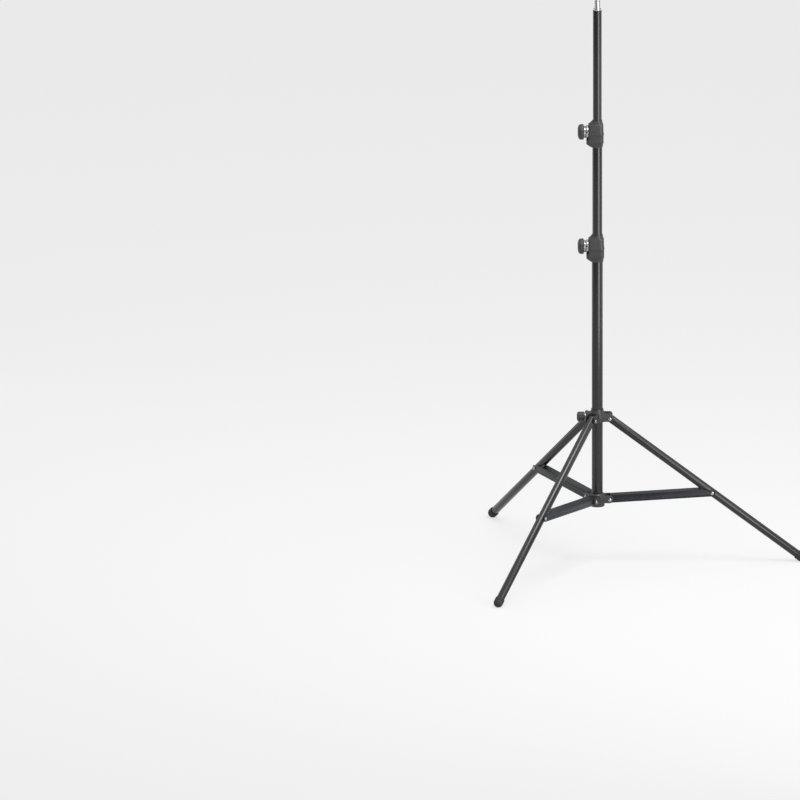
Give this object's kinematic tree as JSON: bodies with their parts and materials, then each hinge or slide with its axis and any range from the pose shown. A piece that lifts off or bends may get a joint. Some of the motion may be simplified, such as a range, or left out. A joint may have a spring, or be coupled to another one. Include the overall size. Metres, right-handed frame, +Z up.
{
  "type": "light stand",
  "caption": "Folding light stand: telescoping tube column clamped by screw-knob collars, legs braced to a sliding hub, spigot on top.",
  "frame": {"origin": "on the column's axis, at the flat underside of the plug in the column's foot", "axes": "+Z up the column to the spigot; +X along one leg, with the knobs on the -X side between the other two"},
  "size_m": [0.8561, 0.9844, 1.5821],
  "materials": {
    "black_tube": "black anodised, satin",
    "black_steel": "black, satin",
    "moulded_plastic": "black, fine grain",
    "bright_steel": "bright plated",
    "plated_steel": "zinc plated",
    "brass": "turned",
    "nylon": "plain",
    "rubber": "black, dull"
  },
  "bodies": {
    "base": {"base_tube": "black_tube", "base_plug": "moulded_plastic", "lower_hub": "moulded_plastic", "hub_rivet_1": "bright_steel", "hub_rivet_2": "bright_steel", "hub_rivet_3": "bright_steel", "base_collar": "moulded_plastic", "base_clamp_insert": "brass", "base_clamp_pad": "nylon"},
    "base_knob": {"base_clamp_screw": "plated_steel", "base_clamp_sleeve": "bright_steel", "base_clamp_knob": "moulded_plastic"},
    "middle": {"middle_tube": "black_tube", "middle_plug": "moulded_plastic", "middle_collar": "moulded_plastic", "middle_clamp_insert": "brass", "middle_clamp_pad": "nylon"},
    "middle_knob": {"middle_clamp_screw": "plated_steel", "middle_clamp_sleeve": "bright_steel", "middle_clamp_knob": "moulded_plastic"},
    "top": {"top_tube": "black_tube", "top_plug": "moulded_plastic", "spigot_cap": "moulded_plastic", "spigot": "bright_steel"},
    "hub": {"upper_hub": "moulded_plastic", "leg_pin_1_left": "bright_steel", "leg_pin_1_right": "bright_steel", "leg_pin_2_left": "bright_steel", "leg_pin_2_right": "bright_steel", "leg_pin_3_left": "bright_steel", "leg_pin_3_right": "bright_steel", "lock_insert": "brass", "lock_pad": "nylon"},
    "lock_knob": {"lock_screw": "plated_steel", "lock_sleeve": "bright_steel", "lock_knob": "moulded_plastic"},
    "brace_1": {"brace_1": "black_steel", "brace_rivet_1": "bright_steel"},
    "leg_1": {"leg_tube_1": "black_tube", "leg_head_1": "moulded_plastic", "foot_1": "rubber"},
    "brace_2": {"brace_2": "black_steel", "brace_rivet_2": "bright_steel"},
    "leg_2": {"leg_tube_2": "black_tube", "leg_head_2": "moulded_plastic", "foot_2": "rubber"},
    "brace_3": {"brace_3": "black_steel", "brace_rivet_3": "bright_steel"},
    "leg_3": {"leg_tube_3": "black_tube", "leg_head_3": "moulded_plastic", "foot_3": "rubber"}
  },
  "joints": [
    {"name": "hub_slide", "type": "slide", "parent": "base", "child": "hub", "axis": [0, 0, 1], "range_m": [0, 0.40073]},
    {"name": "middle_slide", "type": "slide", "parent": "base", "child": "middle", "axis": [0, 0, 1], "range_m": [-0.2445, 0.293]},
    {"name": "top_slide", "type": "slide", "parent": "middle", "child": "top", "axis": [0, 0, 1], "range_m": [-0.3055, 0.293]},
    {"name": "base_knob_turn", "type": "hinge", "parent": "base", "child": "base_knob", "pos_m": [-0.04, 0, 0.731], "axis": [-1, 0, 0], "range_deg": [0, 360]},
    {"name": "middle_knob_turn", "type": "hinge", "parent": "middle", "child": "middle_knob", "pos_m": [-0.04, 0, 1.0525], "axis": [-1, 0, 0], "range_deg": [0, 360]},
    {"name": "lock_knob_turn", "type": "hinge", "parent": "hub", "child": "lock_knob", "pos_m": [-0.04, 0, 0.252], "axis": [-1, 0, 0], "range_deg": [0, 360]},
    {"name": "brace_hinge_1", "type": "hinge", "parent": "base", "child": "brace_1", "pos_m": [0.034, 0, 0.021], "axis": [0, -1, 0], "range_deg": [0, 84.73]},
    {"name": "leg_hinge_1", "type": "hinge", "parent": "brace_1", "child": "leg_1", "pos_m": [0.3125, 0, 0.03767], "axis": [0, 1, 0], "range_deg": [0, 136.19]},
    {"name": "brace_hinge_2", "type": "hinge", "parent": "base", "child": "brace_2", "pos_m": [-0.017, 0.02944, 0.021], "axis": [0.866, 0.5, 0], "range_deg": [0, 84.73]},
    {"name": "leg_hinge_2", "type": "hinge", "parent": "brace_2", "child": "leg_2", "pos_m": [-0.15625, 0.27063, 0.03767], "axis": [-0.866, -0.5, 0], "range_deg": [0, 136.19]},
    {"name": "brace_hinge_3", "type": "hinge", "parent": "base", "child": "brace_3", "pos_m": [-0.017, -0.02944, 0.021], "axis": [-0.866, 0.5, 0], "range_deg": [0, 84.73]},
    {"name": "leg_hinge_3", "type": "hinge", "parent": "brace_3", "child": "leg_3", "pos_m": [-0.15625, -0.27063, 0.03767], "axis": [0.866, -0.5, 0], "range_deg": [0, 136.19]}
  ],
  "couplings": [
    {"joint": "brace_hinge_1", "follows": "hub_slide", "rad_per_m": 3.69},
    {"joint": "leg_hinge_1", "follows": "hub_slide", "rad_per_m": 5.9313},
    {"joint": "brace_hinge_2", "follows": "hub_slide", "rad_per_m": 3.69},
    {"joint": "leg_hinge_2", "follows": "hub_slide", "rad_per_m": 5.9313},
    {"joint": "brace_hinge_3", "follows": "hub_slide", "rad_per_m": 3.69},
    {"joint": "leg_hinge_3", "follows": "hub_slide", "rad_per_m": 5.9313}
  ]
}
